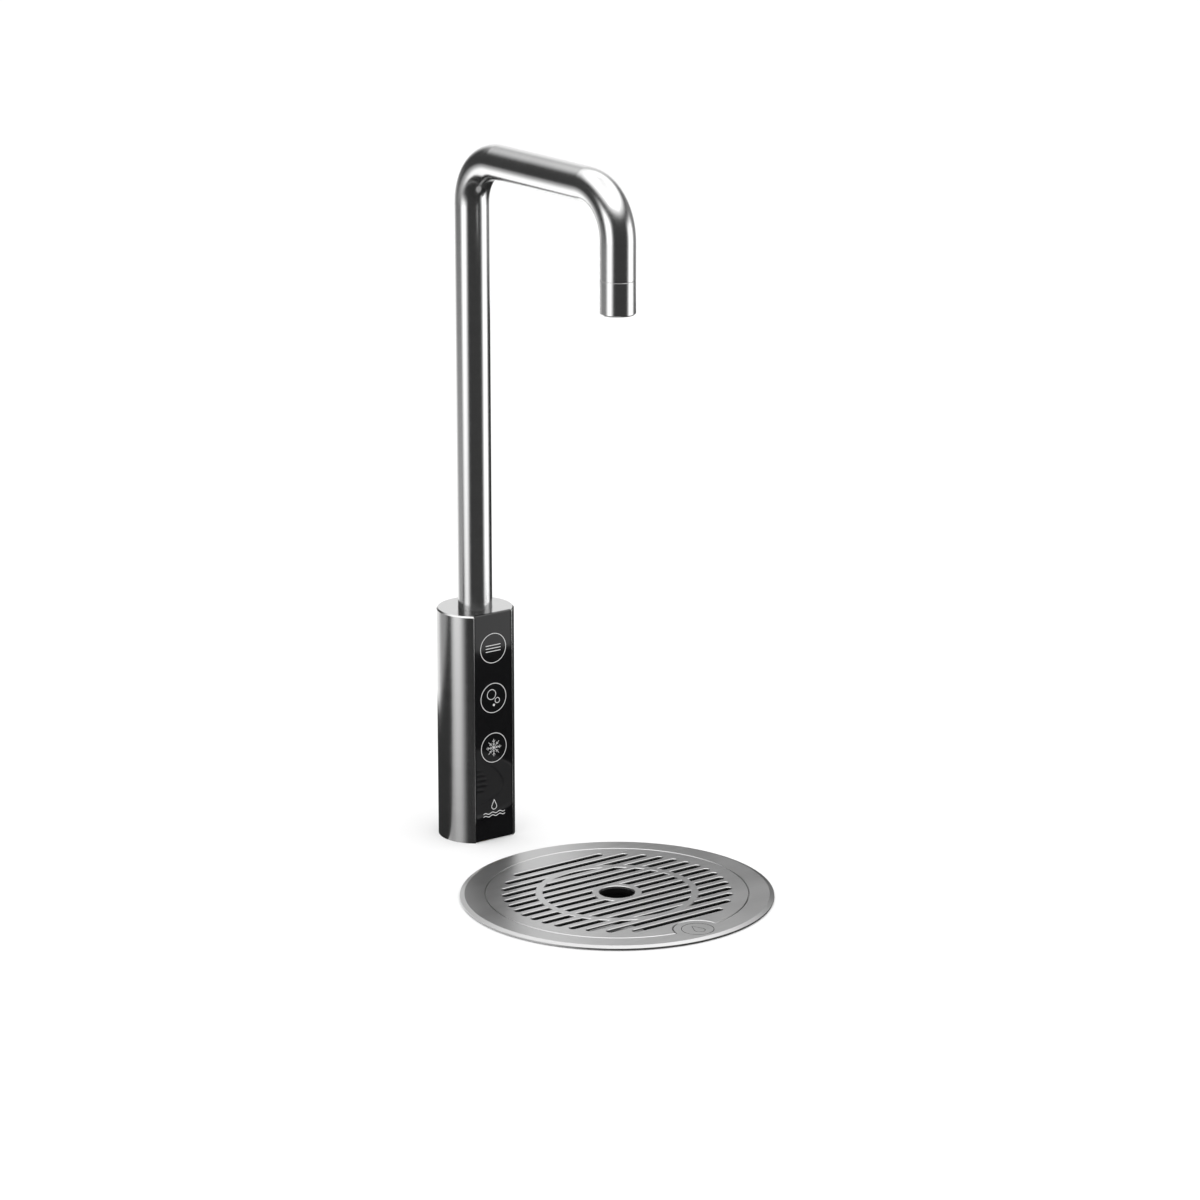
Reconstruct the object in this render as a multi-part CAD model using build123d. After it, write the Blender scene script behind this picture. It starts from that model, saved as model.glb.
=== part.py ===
"""Counter-mounted water dispenser: a column tap with a U-bend spout and a flush round drip tray.

Units are millimetres. +Z is up, the front is -Y and the worktop's top surface is Z = 0.
The origin is on the tap's axis, where the column stands on the worktop.
"""
import os
from math import cos, pi, radians, sin, sqrt

from build123d import *

# Column: a round bar with one flat, which a glass touch panel covers from top to bottom.
COLUMN_RADIUS = 25.0
COLUMN_HEIGHT = 153.0
COLUMN_BORE_RADIUS = 22.4
COLUMN_ROOF = 5.0
COLUMN_EDGE = 0.9
FRONT_FACE = 20.0  # axis to the front of the glass
GLASS_THICKNESS = 2.0
GLASS_WIDTH = 29.0
GLASS_SIDE_GAP = 0.1
GLASS_EDGE = 0.6
GLASS_BACK = FRONT_FACE - GLASS_THICKNESS
FRONT_WALL = 2.0
INNER_FLAT = GLASS_BACK - FRONT_WALL
WINDOW_WIDTH = 22.0
WINDOW_LOW, WINDOW_HIGH = 44.0, 146.0

# Touch keys, from top to bottom: still, sparkling, chilled.
KEY_HEIGHTS = (129.7, 96.2, 62.6)
KEY_RADIUS = 9.8
KEY_LINE = 0.7

# Spout: one bent tube, which runs down inside the column to a collar on the base plug.
SPOUT_RADIUS = 11.1
SPOUT_WALL = 1.2
SPOUT_AXIS_HEIGHT = 446.5
SPOUT_REACH = 154.0
SPOUT_BEND = 30.0
SPOUT_FOOT = 12.0
SPOUT_END = 393.2
SPOUT_BORE_RADIUS = SPOUT_RADIUS - SPOUT_WALL

# Nozzle: a screwed-on tip with a loose outlet cartridge in it.
NOZZLE_LOW = 372.0
NOZZLE_EDGE = 0.8
NOZZLE_JOINT_EDGE = 0.3
NOZZLE_LIP = 2.0
NOZZLE_MOUTH_RADIUS = 7.4
NOZZLE_CARTRIDGE_RADIUS = 8.2
NOZZLE_THREAD_RADIUS = 9.0
NOZZLE_THREAD_LENGTH = 10.0
THREAD_CLEARANCE = 0.05

# Water lines: three plastic tubes side by side, and the touch board's cable in the fourth place.
LINE_RADIUS = 3.0
LINE_BORE_RADIUS = 2.0
LINE_OFFSET = 3.96  # from the spout's centreline, in both directions
LINE_PLACES = ((-LINE_OFFSET, LINE_OFFSET), (LINE_OFFSET, LINE_OFFSET), (-LINE_OFFSET, -LINE_OFFSET))
INLET_OFFSET = 5.66  # from the shank's axis, in both directions
LINE_TOP = 400.0

# Worktop clamp: a hollow threaded shank, a rubber washer, a steel washer and a nut.
SHANK_RADIUS = 15.0
SHANK_BORE_RADIUS = 12.8
SHANK_LOW = -75.0
PLUG_HIGH = 8.0
BASE_SEAL = 1.5
WORKTOP = 30.0
CLAMP_RADIUS = 28.0
CLAMP_SEAL = 2.0
CLAMP_PLATE = 2.0
CLAMP_NUT_HEIGHT = 8.0
CLAMP_NUT_ACROSS_FLATS = 46.0
SLIDING_GAP = 0.3

# Inlets at the foot of the shank.
INLET_RADIUS = 4.5
INLET_BORE_RADIUS = 3.2
INLET_BORE_DEPTH = 15.0
INLET_LOW = -97.0
INLET_HIGH = -69.0
INLET_PLATE_LOW = -79.0
LINE_LOW = -78.0

# Drip tray, centred under the nozzle.
TRAY_Y = -SPOUT_REACH
RIM_RADIUS = 98.5
RIM_HIGH = 2.5
RIM_BEVEL = 2.9
RIM_BEVEL_DROP = 1.0
RIM_LOW = 0.4
LEDGE_OUTER_RADIUS = 82.8
LEDGE_INNER_RADIUS = 78.0
LEDGE_HIGH = 0.8
LEDGE_LOW = -0.4
BOWL_SHEET = 1.2
BOWL_FLOOR_RIM = -25.0
BOWL_FLOOR_SUMP = -27.5
SUMP_RADIUS = 21.0
BOWL_CORNER = 6.0
LUG_RADIUS = 15.0
SEAM_EDGE = 0.35

# Grille: a slotted plate that lifts out.
GRILLE_THICKNESS = 1.2
GRILLE_GAP = 0.4
SLOT_WIDTH = 4.7
SLOT_PITCH = 9.0
SLOT_ROWS = 7  # on each side of the middle row
SLOT_FIELD_RADIUS = 72.7
BAND_INNER_RADIUS, BAND_OUTER_RADIUS = 46.5, 51.3
HOLE_RADIUS = 11.25
HOLE_BAND_RADIUS = 15.7
HOLE_COLLAR = 1.2
HOLE_COLLAR_DEPTH = 5.0
PAD_RADIUS = 2.2
PAD_CENTRE_RADIUS = 80.4

# Badge engraved in the rim's lug: a ring round a water drop.
BADGE_RADIUS = 10.0
BADGE_LINE = 0.42
BADGE_DEPTH = 0.2
DROP_RADIUS = 3.6
DROP_HEIGHT = 8.2

# Drain under the middle of the bowl.
DRAIN_FLANGE_RADIUS = 19.5
DRAIN_FLANGE = 1.5
DRAIN_SEAL = 0.5
DRAIN_STEM_RADIUS = 14.0
DRAIN_STEM_LOW = -52.0
DRAIN_SPIGOT_RADIUS = 10.0
DRAIN_SPIGOT_LOW = -76.0
DRAIN_BORE_RADIUS = 8.0
STRAINER_RADIUS = 11.9
STRAINER_SHEET = 1.5
STRAINER_HOLE_RADIUS = 1.4
DRAIN_WASHER = 2.5
DRAIN_NUT_HEIGHT = 8.0
DRAIN_NUT_ACROSS_FLATS = 38.0

# Sizes of the small pieces inside the column.
TAPE = 0.3
SEAM = 0.15
BOARD_FRONT = 14.6
BOARD_BACK = 13.0
BOARD_SCREWS = ((-8.0, 79.4), (8.0, 112.9))
SOCKET_DEPTH = 3.0
CABLE_RADIUS = 1.3
CABLE_X, CABLE_Y = 8.1, -11.5
CABLE_LEAN_LOW, CABLE_LEAN_HIGH = 1.0, 14.0
CABLE_TOP = 36.0
CABLE_BEND = 10.0
CABLE_NOTCH = (5.2, 10.1)  # side to side
COLLAR_RADIUS = 19.0
COLLAR_HIGH = 30.0
GRUB_RADIUS = 3.0
GRUB_LENGTH = 7.0
GRUB_KEY_RADIUS = 2.0
GRUB_HEIGHT = 21.0
SEAL_SECTION = 0.7
SEAL_GROOVE_RADIUS = 12.6
SEAL_GROOVE_LOW = 149.5
SEAL_GROOVE_HEIGHT = 1.6
LINE_SWAY = 120.0


def disc(radius, low, high, x=0.0, y=0.0):
    """A round solid on a vertical axis, from one height to another."""
    return Pos(x, y, low) * Cylinder(radius, high - low, align=(Align.CENTER, Align.CENTER, Align.MIN))


def ring(outer, inner, low, high, x=0.0, y=0.0):
    """A flat or tall ring on a vertical axis."""
    return disc(outer, low, high, x, y) - disc(inner, low - 1, high + 1, x, y)


def block(x0, x1, y0, y1, z0, z1):
    """A rectangular solid between two corners."""
    return Pos((x0 + x1) / 2, (y0 + y1) / 2, (z0 + z1) / 2) * Box(x1 - x0, y1 - y0, z1 - z0)


def in_front_of(y, low, high):
    """Everything further forward than a plane, to cut a flat with."""
    far = 4 * COLUMN_RADIUS
    return block(-far, far, -far, -y, low - 1, high + 1)


def d_bar(radius, flat, low, high):
    """A round bar with one flat at the front."""
    return disc(radius, low, high) - in_front_of(flat, low, high)


def turned(points, y=0.0):
    """A solid turned about a vertical axis from its half section in radius and height."""
    section = make_face(Polyline(*[(r, 0, z) for r, z in points], close=True))
    return Pos(0, y, 0) * revolve(section, Axis.Z)


def torus_ring(radius, section, z, x=0.0, y=0.0):
    """An O-ring."""
    return Pos(x, y, z) * Torus(radius, section)


def hex_nut(across_flats, bore, low, high, y=0.0):
    """A six-sided nut with the corners of both faces turned off."""
    corner = across_flats / sqrt(3)
    blank = Pos(0, y, low) * extrude(RegularPolygon(corner, 6), high - low)
    turn_off = corner - across_flats / 2
    drop = turn_off * 0.5
    envelope = turned(
        [
            (0, low), (across_flats / 2, low), (corner, low + drop),
            (corner, high - drop), (across_flats / 2, high), (0, high),
        ],
        y,
    )
    return (blank & envelope) - disc(bore, low - 1, high + 1, 0, y)


# ---- column ----

def column_shell():
    body = d_bar(COLUMN_RADIUS, FRONT_FACE, 0, COLUMN_HEIGHT)
    body = chamfer(body.faces().sort_by(Axis.Z)[-1].edges(), COLUMN_EDGE)
    body -= d_bar(COLUMN_BORE_RADIUS, INNER_FLAT, -1, COLUMN_HEIGHT - COLUMN_ROOF)
    pocket = GLASS_WIDTH / 2 + GLASS_SIDE_GAP
    body -= block(-pocket, pocket, -FRONT_FACE - 1, -GLASS_BACK, -1, COLUMN_HEIGHT + 1)
    half_window = WINDOW_WIDTH / 2
    body -= block(-half_window, half_window, -GLASS_BACK - 1, -INNER_FLAT + 1, WINDOW_LOW, WINDOW_HIGH)
    roof_low = COLUMN_HEIGHT - COLUMN_ROOF
    body -= disc(SPOUT_RADIUS + 0.1, roof_low - 1, COLUMN_HEIGHT + 1)
    body -= disc(SEAL_GROOVE_RADIUS, SEAL_GROOVE_LOW, SEAL_GROOVE_LOW + SEAL_GROOVE_HEIGHT)
    key_hole = Cylinder(GRUB_KEY_RADIUS, 2 * COLUMN_RADIUS, align=(Align.CENTER, Align.CENTER, Align.MIN))
    body -= Pos(0, 0, GRUB_HEIGHT) * Rot(-90, 0, 0) * key_hole
    return body


def base_plug():
    plug = d_bar(COLUMN_BORE_RADIUS - 0.05, INNER_FLAT - 0.05, BASE_SEAL, PLUG_HIGH)
    return plug - disc(SHANK_RADIUS, 0, PLUG_HIGH + 1)


def base_seal():
    seal = d_bar(COLUMN_BORE_RADIUS - 0.05, INNER_FLAT - 0.05, 0, BASE_SEAL)
    return seal - disc(SHANK_RADIUS + SLIDING_GAP, -1, BASE_SEAL + 1)


# ---- touch panel ----

def touch_glass():
    half = GLASS_WIDTH / 2
    glass = block(-half, half, -FRONT_FACE, -GLASS_BACK - TAPE, GLASS_EDGE / 2, COLUMN_HEIGHT)
    return chamfer(glass.faces().sort_by(Axis.Y)[0].edges(), GLASS_EDGE)


def glass_tape():
    """The double-sided tape that holds the glass to the column's flat, with the window left open."""
    half, inside = GLASS_WIDTH / 2 - 0.5, WINDOW_WIDTH / 2
    tape = block(-half, half, -GLASS_BACK - TAPE, -GLASS_BACK, 2, COLUMN_HEIGHT - 2)
    return tape - block(-inside, inside, -FRONT_FACE, 0, WINDOW_LOW, WINDOW_HIGH)


def light_guide():
    """A frame behind the glass with one clear round light window for each key."""
    half = WINDOW_WIDTH / 2 - 0.2
    front = GLASS_BACK + TAPE
    frame = block(-half, half, -front, -BOARD_FRONT, WINDOW_LOW + 0.2, WINDOW_HIGH - 0.2)
    for z in KEY_HEIGHTS:
        well = Cylinder(KEY_RADIUS - 2, front - BOARD_FRONT + 2)
        frame -= Pos(0, -(front + BOARD_FRONT) / 2, z) * Rot(90, 0, 0) * well
    return frame


def touch_board():
    half = WINDOW_WIDTH / 2 - 0.2
    board = block(-half, half, -BOARD_FRONT, -BOARD_BACK, WINDOW_LOW - 12, WINDOW_HIGH - 0.2)
    for x, z in BOARD_SCREWS:
        board -= Pos(x, -BOARD_FRONT, z) * Rot(90, 0, 0) * Cylinder(1.1, 4)
    return board


def touch_sensors():
    """Three round touch pads with their lamps, one behind each key."""
    pads = []
    for z in KEY_HEIGHTS:
        pad = Pos(0, -BOARD_FRONT, z) * Rot(90, 0, 0) * Cylinder(
            KEY_RADIUS - 3, 0.8, align=(Align.CENTER, Align.CENTER, Align.MIN)
        )
        pads.append(pad)
    return Compound(pads)


def board_screws():
    """Two screws that hold the board to the light guide's frame."""
    screws = []
    for x, z in BOARD_SCREWS:
        head = Pos(x, -BOARD_BACK, z) * Rot(-90, 0, 0) * Cylinder(
            1.9, 1.2, align=(Align.CENTER, Align.CENTER, Align.MIN)
        )
        stem = Pos(x, -BOARD_BACK, z) * Rot(90, 0, 0) * Cylinder(
            1.0, BOARD_FRONT - BOARD_BACK, align=(Align.CENTER, Align.CENTER, Align.MIN)
        )
        screws.append(head + stem)
    return Compound(screws)


def board_socket():
    x, high = CABLE_X, CABLE_TOP + 6
    return block(x - 2.6, x + 2.6, -BOARD_BACK, -BOARD_BACK + SOCKET_DEPTH, CABLE_TOP, high)


def signal_cable():
    """The cable from the signal socket, up through the shank's fourth place, to the board."""
    path = FilletPolyline(
        (INLET_OFFSET, -INLET_OFFSET, INLET_HIGH),
        (INLET_OFFSET, -INLET_OFFSET, CABLE_LEAN_LOW),
        (CABLE_X, CABLE_Y, CABLE_LEAN_HIGH),
        (CABLE_X, CABLE_Y, CABLE_TOP),
        radius=CABLE_BEND,
    )
    start = Plane(origin=(INLET_OFFSET, -INLET_OFFSET, INLET_HIGH), z_dir=(0, 0, 1))
    return sweep(start * Circle(CABLE_RADIUS), path=path)


# ---- spout and water lines ----

def spout_path(offset, x, low, end):
    """A line beside the spout's centreline: straight up, forward and down, with two bends."""
    top = SPOUT_AXIS_HEIGHT + offset
    far = -SPOUT_REACH - offset
    return [(x, offset, low), (x, offset, top), (x, far, top), (x, far, end)]


def spout_tube():
    path = FilletPolyline(*spout_path(0, 0, SPOUT_FOOT, SPOUT_END), radius=SPOUT_BEND)
    wall = Circle(SPOUT_RADIUS) - Circle(SPOUT_BORE_RADIUS)
    return sweep(Plane(origin=(0, 0, SPOUT_FOOT), z_dir=(0, 0, 1)) * wall, path=path)


def spout_collar():
    """The collar on the base plug that the spout's foot stands in, with a tapped hole at the back."""
    collar = d_bar(COLLAR_RADIUS, INNER_FLAT - 1.5, PLUG_HIGH, COLLAR_HIGH)
    collar -= disc(SPOUT_RADIUS + 0.05, SPOUT_FOOT, COLLAR_HIGH + 1)
    collar -= disc(SPOUT_BORE_RADIUS + 0.5, PLUG_HIGH - 1, SPOUT_FOOT + 1)
    collar -= block(*CABLE_NOTCH, -COLLAR_RADIUS, -6, PLUG_HIGH - 1, COLLAR_HIGH + 1)
    tapped = Cylinder(GRUB_RADIUS, COLLAR_RADIUS + 2, align=(Align.CENTER, Align.CENTER, Align.MIN))
    return collar - Pos(0, 0, GRUB_HEIGHT) * Rot(-90, 0, 0) * tapped


def grub_screw():
    screw = Cylinder(GRUB_RADIUS, GRUB_LENGTH, align=(Align.CENTER, Align.CENTER, Align.MIN))
    depth = GRUB_LENGTH / 2
    key = extrude(RegularPolygon(GRUB_KEY_RADIUS * 0.8, 6), depth)
    screw -= Pos(0, 0, GRUB_LENGTH - depth) * key
    return Pos(0, SPOUT_RADIUS, GRUB_HEIGHT) * Rot(-90, 0, 0) * screw


def spout_seal():
    return torus_ring((SPOUT_RADIUS + SEAL_GROOVE_RADIUS) / 2, SEAL_SECTION, SEAL_GROOVE_LOW + SEAL_GROOVE_HEIGHT / 2)


def water_line(x, offset, inlet_x, inlet_y):
    """One plastic line from its inlet, through the shank and the spout, to the nozzle."""
    points = [(inlet_x, inlet_y, LINE_LOW), (inlet_x, inlet_y, -58), (x, offset, -18)]
    points += spout_path(offset, x, -18, LINE_TOP)[1:]
    bends = [LINE_SWAY, LINE_SWAY, SPOUT_BEND + offset, SPOUT_BEND + offset]
    path = FilletPolyline(*points, radius=bends)
    wall = Circle(LINE_RADIUS) - Circle(LINE_BORE_RADIUS)
    return sweep(Plane(origin=points[0], z_dir=(0, 0, 1)) * wall, path=path)


# ---- nozzle ----

def nozzle_adapter():
    """The plug brazed in the spout's end. It holds the lines' ends, and the tip screws on below."""
    bottom = SPOUT_END - NOZZLE_THREAD_LENGTH
    top = LINE_TOP + 5
    adapter = turned(
        [
            (NOZZLE_CARTRIDGE_RADIUS, bottom), (NOZZLE_THREAD_RADIUS, bottom),
            (NOZZLE_THREAD_RADIUS, SPOUT_END), (SPOUT_BORE_RADIUS, SPOUT_END),
            (SPOUT_BORE_RADIUS, top), (0, top), (0, LINE_TOP - 1), (NOZZLE_CARTRIDGE_RADIUS, LINE_TOP - 1),
        ],
        TRAY_Y,
    )
    for x, offset in LINE_PLACES:
        adapter -= disc(LINE_RADIUS + 0.03, LINE_TOP, top + 1, x, TRAY_Y - offset)
        adapter -= disc(LINE_BORE_RADIUS, LINE_TOP - 2, LINE_TOP + 1, x, TRAY_Y - offset)
    return adapter


def nozzle_tip():
    top = SPOUT_END - SEAM
    step = SPOUT_END - NOZZLE_THREAD_LENGTH - 0.1
    thread = NOZZLE_THREAD_RADIUS + THREAD_CLEARANCE
    return turned(
        [
            (NOZZLE_MOUTH_RADIUS, NOZZLE_LOW), (SPOUT_RADIUS - NOZZLE_EDGE, NOZZLE_LOW),
            (SPOUT_RADIUS, NOZZLE_LOW + NOZZLE_EDGE), (SPOUT_RADIUS, top - NOZZLE_JOINT_EDGE),
            (SPOUT_RADIUS - NOZZLE_JOINT_EDGE, top), (thread, top), (thread, step),
            (NOZZLE_CARTRIDGE_RADIUS + 0.1, step), (NOZZLE_CARTRIDGE_RADIUS + 0.1, NOZZLE_LOW + NOZZLE_LIP),
            (NOZZLE_MOUTH_RADIUS, NOZZLE_LOW + NOZZLE_LIP),
        ],
        TRAY_Y,
    )


def nozzle_cartridge():
    """The flow straightener: a plug with a ring of round channels round a middle one."""
    low, high = NOZZLE_LOW + NOZZLE_LIP, SPOUT_END - NOZZLE_THREAD_LENGTH - 1.6
    plug = disc(NOZZLE_CARTRIDGE_RADIUS, low, high, 0, TRAY_Y)
    plug += disc(NOZZLE_MOUTH_RADIUS - 0.1, NOZZLE_LOW + 0.8, low, 0, TRAY_Y)
    plug -= disc(1.3, NOZZLE_LOW - 1, high + 1, 0, TRAY_Y)
    for radius, count in ((3.1, 6), (5.6, 12)):
        for i in range(count):
            angle = 2 * pi * i / count
            plug -= disc(1.0, NOZZLE_LOW - 1, high + 1, radius * cos(angle), TRAY_Y + radius * sin(angle))
    return plug


def nozzle_seal():
    low = SPOUT_END - NOZZLE_THREAD_LENGTH - 1.6
    return ring(NOZZLE_CARTRIDGE_RADIUS, NOZZLE_CARTRIDGE_RADIUS - 1.6, low, low + 1.2, 0, TRAY_Y)


# ---- worktop clamp and inlets ----

def mounting_shank():
    return ring(SHANK_RADIUS, SHANK_BORE_RADIUS, SHANK_LOW, PLUG_HIGH)


def clamp_seal():
    return ring(CLAMP_RADIUS, SHANK_RADIUS + SLIDING_GAP, -WORKTOP - CLAMP_SEAL, -WORKTOP)


def clamp_washer():
    high = -WORKTOP - CLAMP_SEAL
    return ring(CLAMP_RADIUS, SHANK_RADIUS + SLIDING_GAP, high - CLAMP_PLATE, high)


def clamp_nut():
    high = -WORKTOP - CLAMP_SEAL - CLAMP_PLATE
    return hex_nut(CLAMP_NUT_ACROSS_FLATS, SHANK_RADIUS + THREAD_CLEARANCE, high - CLAMP_NUT_HEIGHT, high)


def inlet_places():
    """Centres of the three water inlets and the signal socket."""
    o = INLET_OFFSET
    return {"still": (-o, o), "sparkling": (o, o), "chilled": (-o, -o), "signal": (o, -o)}


def inlet_plate():
    plate = disc(SHANK_RADIUS - 1, INLET_PLATE_LOW, SHANK_LOW)
    plate += disc(SHANK_BORE_RADIUS - 0.05, SHANK_LOW, INLET_HIGH - 1)
    for x, y in inlet_places().values():
        plate -= disc(INLET_RADIUS + 0.02, INLET_PLATE_LOW - 1, INLET_HIGH, x, y)
    return plate


def water_inlet(x, y):
    """A push-in tube socket, with the line's end held in its upper half."""
    body = disc(INLET_RADIUS, INLET_LOW, INLET_HIGH, x, y)
    body -= disc(INLET_BORE_RADIUS, INLET_LOW - 1, INLET_LOW + INLET_BORE_DEPTH, x, y)
    body -= disc(LINE_BORE_RADIUS, INLET_LOW, LINE_LOW + 1, x, y)
    return body - disc(LINE_RADIUS + 0.03, LINE_LOW, INLET_HIGH + 1, x, y)


def signal_socket():
    """A round socket with four pins in a recess."""
    x, y = inlet_places()["signal"]
    low = INLET_LOW + 5
    body = disc(INLET_RADIUS, low, INLET_HIGH, x, y)
    body -= disc(INLET_RADIUS - 1, low - 1, low + 8, x, y)
    for angle in (45, 135, 225, 315):
        px, py = x + 1.6 * cos(radians(angle)), y + 1.6 * sin(radians(angle))
        body += disc(0.4, low + 2, low + 8, px, py)
    return body


# ---- drip tray ----

def drop_face(radius, height):
    """A water drop's outline: a round foot that runs up to a point."""
    reach = sqrt(height**2 - radius**2)
    touch_x, touch_y = radius * reach / height, radius * radius / height
    outline = Line((0, height), (touch_x, touch_y))
    outline += ThreePointArc((touch_x, touch_y), (0, -radius), (-touch_x, touch_y))
    outline += Line((-touch_x, touch_y), (0, height))
    return make_face(outline)


def badge_cut():
    """The engraving in the lug: a ring round a drop."""
    cut = ring(BADGE_RADIUS + BADGE_LINE / 2, BADGE_RADIUS - BADGE_LINE / 2, -BADGE_DEPTH, 1)
    grow = BADGE_LINE * (1 + DROP_HEIGHT / DROP_RADIUS) / 2
    band = drop_face(DROP_RADIUS, DROP_HEIGHT) - drop_face(DROP_RADIUS - BADGE_LINE, DROP_HEIGHT - grow)
    cut += Pos(0, -2, -BADGE_DEPTH) * extrude(band, 1 + BADGE_DEPTH)
    return Pos(0, TRAY_Y - LEDGE_OUTER_RADIUS, RIM_HIGH) * cut


def rim_lug(radius, low, high, grow=0.0):
    """The round lug that reaches in from the rim and carries the badge."""
    return disc(radius + grow, low, high, 0, TRAY_Y - LEDGE_OUTER_RADIUS)


def tray_rim():
    """The flat rim with the grille's ledge and the badge's lug."""
    ring_section = turned(
        [
            (LEDGE_INNER_RADIUS, LEDGE_LOW), (LEDGE_OUTER_RADIUS + BOWL_SHEET, LEDGE_LOW),
            (LEDGE_OUTER_RADIUS + BOWL_SHEET, RIM_LOW), (RIM_RADIUS - 0.3, RIM_LOW), (RIM_RADIUS, RIM_LOW + 0.3),
            (RIM_RADIUS, RIM_HIGH - RIM_BEVEL_DROP), (RIM_RADIUS - RIM_BEVEL, RIM_HIGH),
            (LEDGE_OUTER_RADIUS + SEAM_EDGE, RIM_HIGH), (LEDGE_OUTER_RADIUS, RIM_HIGH - SEAM_EDGE),
            (LEDGE_OUTER_RADIUS, LEDGE_HIGH), (LEDGE_INNER_RADIUS, LEDGE_HIGH),
        ],
        TRAY_Y,
    )
    lug = rim_lug(LUG_RADIUS, LEDGE_LOW, RIM_HIGH)
    lug = chamfer(lug.faces().sort_by(Axis.Z)[-1].edges(), SEAM_EDGE)
    lug &= disc(LEDGE_OUTER_RADIUS + 2 * SEAM_EDGE, LEDGE_LOW - 1, RIM_HIGH + 1, 0, TRAY_Y)
    return ring_section + lug - badge_cut()


def tray_basin():
    """The pressed bowl welded under the ledge, with a floor that falls to the drain."""
    wall = LEDGE_INNER_RADIUS + BOWL_SHEET
    hole = DRAIN_STEM_RADIUS + 0.2
    corner_r, corner_z = LEDGE_INNER_RADIUS - BOWL_CORNER, BOWL_FLOOR_RIM + BOWL_CORNER
    bend_in = (corner_r + BOWL_CORNER * cos(pi / 4), corner_z - BOWL_CORNER * sin(pi / 4))
    reach = BOWL_CORNER + BOWL_SHEET
    bend_out = (corner_r + reach * cos(pi / 4), corner_z - reach * sin(pi / 4))

    def at(r, z):
        return (r, 0, z)

    under = [
        (hole, BOWL_FLOOR_SUMP), (hole, BOWL_FLOOR_SUMP - BOWL_SHEET),
        (SUMP_RADIUS, BOWL_FLOOR_SUMP - BOWL_SHEET), (corner_r, BOWL_FLOOR_RIM - BOWL_SHEET),
    ]
    side = [(wall, corner_z), (wall, LEDGE_LOW), (LEDGE_INNER_RADIUS, LEDGE_LOW), (LEDGE_INNER_RADIUS, corner_z)]
    floor = [(corner_r, BOWL_FLOOR_RIM), (SUMP_RADIUS, BOWL_FLOOR_SUMP), (hole, BOWL_FLOOR_SUMP)]
    section = (
        Polyline(*[at(*p) for p in under])
        + ThreePointArc(at(*under[-1]), at(*bend_out), at(*side[0]))
        + Polyline(*[at(*p) for p in side])
        + ThreePointArc(at(*side[-1]), at(*bend_in), at(*floor[0]))
        + Polyline(*[at(*p) for p in floor])
    )
    return Pos(0, TRAY_Y, 0) * revolve(make_face(section), Axis.Z)


def rim_seal():
    return ring(RIM_RADIUS - 1, LEDGE_OUTER_RADIUS + BOWL_SHEET + 2, 0, RIM_LOW, 0, TRAY_Y)


def slot_row(y):
    """One row of slots, with the two round bands and the middle hole's land left whole."""
    half = sqrt(SLOT_FIELD_RADIUS**2 - (abs(y) + 1) ** 2) if y else SLOT_FIELD_RADIUS
    row = Pos(0, y) * SlotOverall(2 * half, SLOT_WIDTH)
    row -= Circle(BAND_OUTER_RADIUS) - Circle(BAND_INNER_RADIUS)
    return row - Circle(HOLE_BAND_RADIUS)


def tray_grille():
    low = RIM_HIGH - GRILLE_THICKNESS
    plate = disc(LEDGE_OUTER_RADIUS - GRILLE_GAP, low, RIM_HIGH, 0, TRAY_Y)
    plate -= rim_lug(LUG_RADIUS, low - 1, RIM_HIGH + 1, GRILLE_GAP)
    for row in range(-SLOT_ROWS, SLOT_ROWS + 1):
        cut = extrude(slot_row(row * SLOT_PITCH), GRILLE_THICKNESS + 2)
        plate -= Pos(0, TRAY_Y, low - 1) * cut
    plate -= disc(HOLE_RADIUS, low - 1, RIM_HIGH + 1, 0, TRAY_Y)
    plate = chamfer(plate.faces().sort_by(Axis.Z)[-1].edges(), SEAM_EDGE)
    throat = RIM_HIGH - HOLE_COLLAR_DEPTH
    collar = turned(
        [
            (HOLE_RADIUS, throat), (HOLE_RADIUS + HOLE_COLLAR, throat), (HOLE_RADIUS + HOLE_COLLAR, RIM_HIGH),
            (HOLE_RADIUS + SEAM_EDGE, RIM_HIGH), (HOLE_RADIUS, RIM_HIGH - SEAM_EDGE),
        ],
        TRAY_Y,
    )
    return plate + collar


def grille_pads():
    """Rubber pads under the grille's edge, which rest on the bowl's ledge."""
    pads = []
    for angle in (20, 90, 160, 215, 325):
        x, y = PAD_CENTRE_RADIUS * cos(radians(angle)), PAD_CENTRE_RADIUS * sin(radians(angle))
        pads.append(disc(PAD_RADIUS, LEDGE_HIGH, RIM_HIGH - GRILLE_THICKNESS, x, TRAY_Y + y))
    return Compound(pads)


# ---- drain ----

def drain_seal():
    low = BOWL_FLOOR_SUMP
    return ring(DRAIN_FLANGE_RADIUS - 0.5, DRAIN_STEM_RADIUS + 0.3, low, low + DRAIN_SEAL, 0, TRAY_Y)


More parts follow.
